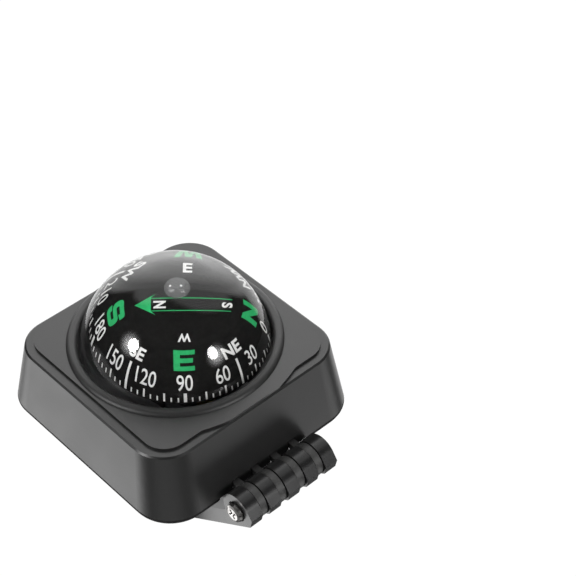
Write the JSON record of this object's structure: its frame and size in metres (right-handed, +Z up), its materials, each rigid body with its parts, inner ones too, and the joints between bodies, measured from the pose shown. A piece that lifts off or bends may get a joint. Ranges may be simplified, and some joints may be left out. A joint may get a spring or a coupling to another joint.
{
  "type": "car dashboard compass",
  "caption": "Liquid-filled dome compass in a tapered square housing that swings on a hinged adhesive mount plate, with a floating dial that tilts and turns.",
  "frame": {"origin": "centre of the adhesive face of the mount plate", "axes": "+Z up with the head level, +X along the hinge, +Y from the hinge towards the head's far side; the mount plate slopes down towards +Y by 36 degrees"},
  "size_m": [0.056, 0.0664, 0.0588],
  "materials": {
    "housing_plastic": "satin moulded plastic with a fine grain",
    "cover_plastic": "satin moulded plastic",
    "hinge_plastic": "semi-gloss moulded plastic",
    "foam": "closed-cell foam",
    "bright_steel": "bright plated steel",
    "clear_dome": "clear polished plastic",
    "bowl_plastic": "matt moulded plastic",
    "seal_rubber": "moulded rubber",
    "brass": "turned brass",
    "jewel": "polished jewel",
    "dial_black": "gloss black with printed marks",
    "magnet_iron": "dark sintered magnet"
  },
  "bodies": {
    "mount": {"mount_plate": "hinge_plastic", "adhesive_pad": "foam", "hinge_screw": "bright_steel", "hinge_nut": "bright_steel"},
    "head": {"housing_shell": "housing_plastic", "bottom_cover": "cover_plastic", "cover_screws": "bright_steel", "capsule_dome": "clear_dome", "capsule_bowl": "bowl_plastic", "capsule_seal": "seal_rubber", "cushion_ring": "foam", "fill_plug": "seal_rubber", "pivot_post": "brass", "pivot_needle": "bright_steel"},
    "cup": {"jewel_cup": "jewel"},
    "socket": {"jewel_socket": "brass"},
    "card": {"card_dial": "dial_black", "card_float": "dial_black", "magnet_clip": "brass", "card_magnets": "magnet_iron"}
  },
  "joints": [
    {"name": "head_hinge", "type": "hinge", "parent": "mount", "child": "head", "pos_m": [-0.0008, -0.0138, 0.01503], "axis": [1, 0, 0], "range_deg": [-36, 54]},
    {"name": "card_pitch", "type": "hinge", "parent": "head", "child": "cup", "pos_m": [0.00205, 0.01895, 0.03043], "axis": [1, 0, 0], "range_deg": [-15, 15]},
    {"name": "card_roll", "type": "hinge", "parent": "cup", "child": "socket", "pos_m": [0.00205, 0.01895, 0.03043], "axis": [0, 1, 0], "range_deg": [-15, 15]},
    {"name": "card_turn", "type": "hinge", "parent": "socket", "child": "card", "pos_m": [0.00205, 0.01895, 0.03043], "axis": [0, 0, 1], "continuous": true}
  ]
}
